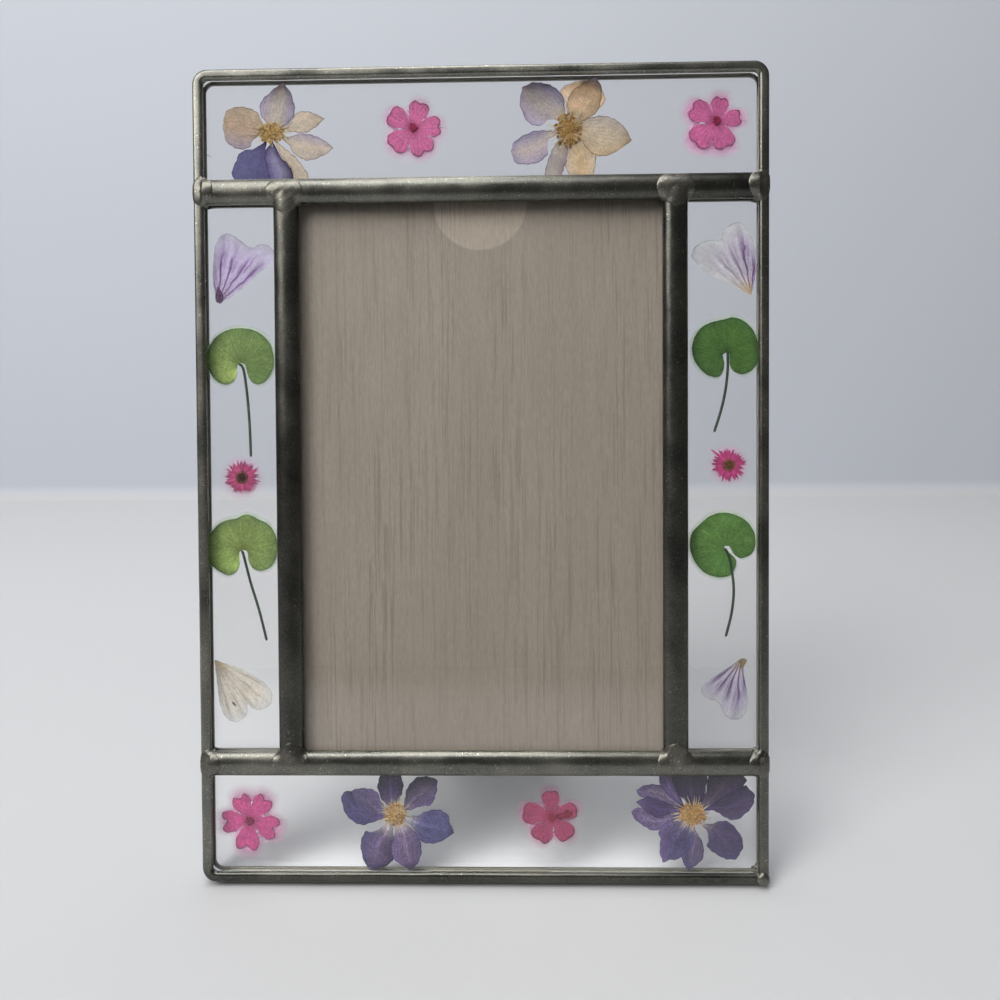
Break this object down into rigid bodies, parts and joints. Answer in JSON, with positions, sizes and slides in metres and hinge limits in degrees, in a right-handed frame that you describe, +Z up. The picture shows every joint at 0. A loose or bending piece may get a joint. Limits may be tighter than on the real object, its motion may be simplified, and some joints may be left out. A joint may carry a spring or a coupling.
{
  "type": "pressed flower frame",
  "caption": "Standing leaded-glass picture frame: pressed flowers and leaves between panes around a print window, with a hinged easel leg behind.",
  "frame": {"origin": "On the standing surface, under the middle of the box around the frame and its open easel leg.", "axes": "+Z up, front of the frame towards -Y, leaning back 13 degrees towards +Y; +X to the right seen from the front."},
  "size_m": [0.154, 0.0724, 0.2157],
  "materials": {
    "came": "dark grey patinated zinc came, softly shiny where it is rubbed, with soldered joints",
    "tinned_sheet": "tinned steel sheet, dull grey",
    "glass": "clear thin float glass",
    "print_paper": "photo paper with a plain greyish-brown printed wood grain",
    "green_leaf": "dried leaf, matt, fully green",
    "pale_leaf": "dried leaf, matt, mottled yellowish green",
    "cream_petal": "dried petal, papery, faded cream with violet edges",
    "purple_petal": "dried petal, papery, deep violet blue",
    "pink_petal": "dried petal, papery, strong pink",
    "lilac_petal": "dried petal, thin and half see-through, pale lilac with purple veins"
  },
  "bodies": {
    "frame": {"outer_came": "came", "upper_crossbar": "came", "lower_crossbar": "came", "left_upright": "came", "right_upright": "came", "top_strip_front_glass": "glass", "top_strip_rear_glass": "glass", "bottom_strip_front_glass": "glass", "bottom_strip_rear_glass": "glass", "left_strip_front_glass": "glass", "left_strip_rear_glass": "glass", "right_strip_front_glass": "glass", "right_strip_rear_glass": "glass", "window_glass": "glass", "photo_insert": "print_paper", "back_plate": "tinned_sheet", "hinge_plate": "tinned_sheet", "hinge_pin": "tinned_sheet", "larkspur_top_left": "cream_petal", "larkspur_top_right": "cream_petal", "larkspur_bottom_left": "purple_petal", "larkspur_bottom_right": "purple_petal", "verbena_top_left": "pink_petal", "verbena_top_right": "pink_petal", "verbena_bottom_left": "pink_petal", "verbena_bottom_right": "pink_petal", "mallow_petal_upper_left": "lilac_petal", "mallow_petal_lower_left": "lilac_petal", "mallow_petal_upper_right": "lilac_petal", "mallow_petal_lower_right": "lilac_petal", "leaf_upper_left": "pale_leaf", "leaf_lower_left": "pale_leaf", "leaf_upper_right": "green_leaf", "leaf_lower_right": "green_leaf", "daisy_left": "pink_petal", "daisy_right": "pink_petal"},
    "leg": {"easel_leg": "tinned_sheet"}
  },
  "joints": [
    {"name": "easel_hinge", "type": "hinge", "parent": "frame", "child": "leg", "pos_m": [0, 0.00406, 0.13591], "axis": [-1, 0, 0], "range_deg": [0, 24.8]}
  ]
}
